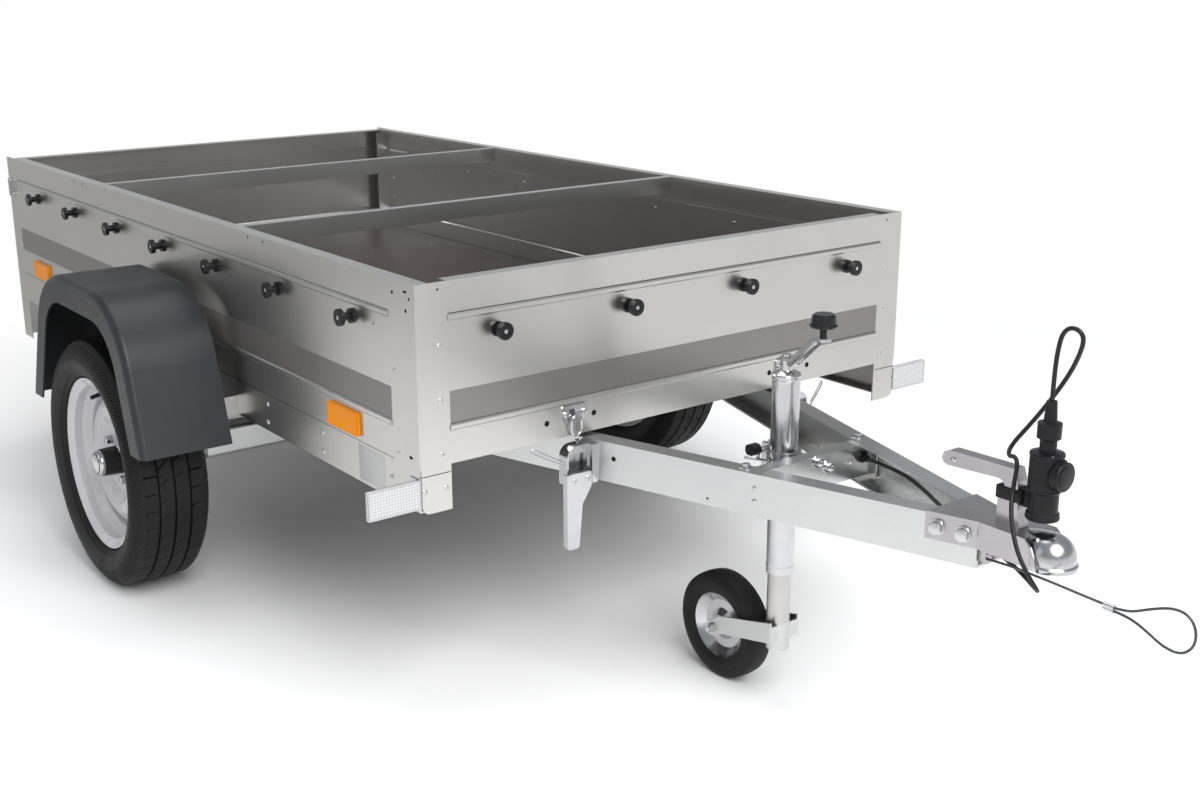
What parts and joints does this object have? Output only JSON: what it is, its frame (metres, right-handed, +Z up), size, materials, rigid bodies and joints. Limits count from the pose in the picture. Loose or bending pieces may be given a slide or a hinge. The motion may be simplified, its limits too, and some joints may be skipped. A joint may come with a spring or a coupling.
{
  "type": "utility trailer",
  "caption": "Single-axle utility trailer with a tipping sheet-steel load bed, drop tailgate, V drawbar, ball coupling and jockey wheel.",
  "frame": {"origin": "on the ground, below the middle of the trailer's length and width, cords left out", "axes": "+X forward to the coupling, +Y to the trailer's left, +Z up"},
  "size_m": [3.1738, 1.572, 0.7936],
  "materials": {
    "galvanised": "galvanised",
    "zinc": "bright zinc plate",
    "coupling_paint": "satin",
    "plywood": "brown phenolic film",
    "black_plastic": "matt",
    "cable_rubber": "satin",
    "coated_wire": "plastic coated wire rope",
    "guard_plastic": "satin",
    "tyre_rubber": "matt",
    "rim_paint": "satin",
    "hub_paint": "satin",
    "amber": "gloss",
    "clear_reflector": "gloss",
    "red_lamp": "gloss"
  },
  "bodies": {
    "drawbar": {"drawbar_arms": "galvanised", "cross_member": "galvanised", "coupling": "coupling_paint", "ball_cup": "zinc", "coupling_lever": "coupling_paint", "toggle_latches": "zinc", "jockey_tube": "zinc", "jockey_crank": "zinc", "jockey_knob": "black_plastic", "jockey_clamp": "zinc", "clamp_lever": "zinc", "clamp_grip": "black_plastic", "plug": "black_plastic", "plug_holder": "black_plastic", "lead_gland": "black_plastic", "lead": "cable_rubber", "safety_cable": "coated_wire", "cable_ferrule": "zinc"},
    "bed": {"side_wall_right": "galvanised", "side_wall_left": "galvanised", "front_panel": "galvanised", "front_posts": "galvanised", "rear_posts": "galvanised", "side_rails": "galvanised", "floor_panel": "plywood", "floor_beams": "galvanised", "cross_bars": "galvanised", "mudguards": "guard_plastic", "rope_knobs": "black_plastic", "side_reflectors": "amber", "front_reflectors": "clear_reflector", "reflector_brackets": "galvanised", "tail_lamps": "red_lamp", "lamp_bar": "galvanised", "latch_keepers": "zinc", "tailgate_hooks": "zinc", "swing_arms": "galvanised", "axle_tube": "galvanised"},
    "tailgate": {"tailgate": "galvanised"},
    "wheel_right": {"tyre_right": "tyre_rubber", "rim_right": "rim_paint", "hub_right": "hub_paint"},
    "wheel_left": {"tyre_left": "tyre_rubber", "rim_left": "rim_paint", "hub_left": "hub_paint"},
    "jockey_leg": {"jockey_leg": "zinc"},
    "jockey_fork": {"jockey_fork": "galvanised"},
    "jockey_wheel": {"jockey_tyre": "tyre_rubber", "jockey_rim": "zinc"}
  },
  "joints": [
    {"name": "bed_tip", "type": "hinge", "parent": "drawbar", "child": "bed", "pos_m": [-0.176, 0, 0.445], "axis": [0, -1, 0], "range_deg": [0, 15]},
    {"name": "tailgate_hinge", "type": "hinge", "parent": "bed", "child": "tailgate", "pos_m": [-1.4325, 0, 0.507], "axis": [0, -1, 0], "range_deg": [0, 100]},
    {"name": "wheel_right_spin", "type": "hinge", "parent": "bed", "child": "wheel_right", "pos_m": [-0.356, -0.69, 0.266], "axis": [0, 1, 0], "continuous": true},
    {"name": "wheel_left_spin", "type": "hinge", "parent": "bed", "child": "wheel_left", "pos_m": [-0.356, 0.69, 0.266], "axis": [0, 1, 0], "continuous": true},
    {"name": "jockey_slide", "type": "slide", "parent": "drawbar", "child": "jockey_leg", "axis": [0, 0, 1], "range_m": [-0.06, 0.09]},
    {"name": "jockey_swivel", "type": "hinge", "parent": "jockey_leg", "child": "jockey_fork", "pos_m": [0.905, 0, 0.13], "axis": [0, 0, 1], "continuous": true},
    {"name": "jockey_wheel_spin", "type": "hinge", "parent": "jockey_fork", "child": "jockey_wheel", "pos_m": [0.771, 0, 0.101], "axis": [0, 1, 0], "continuous": true}
  ]
}
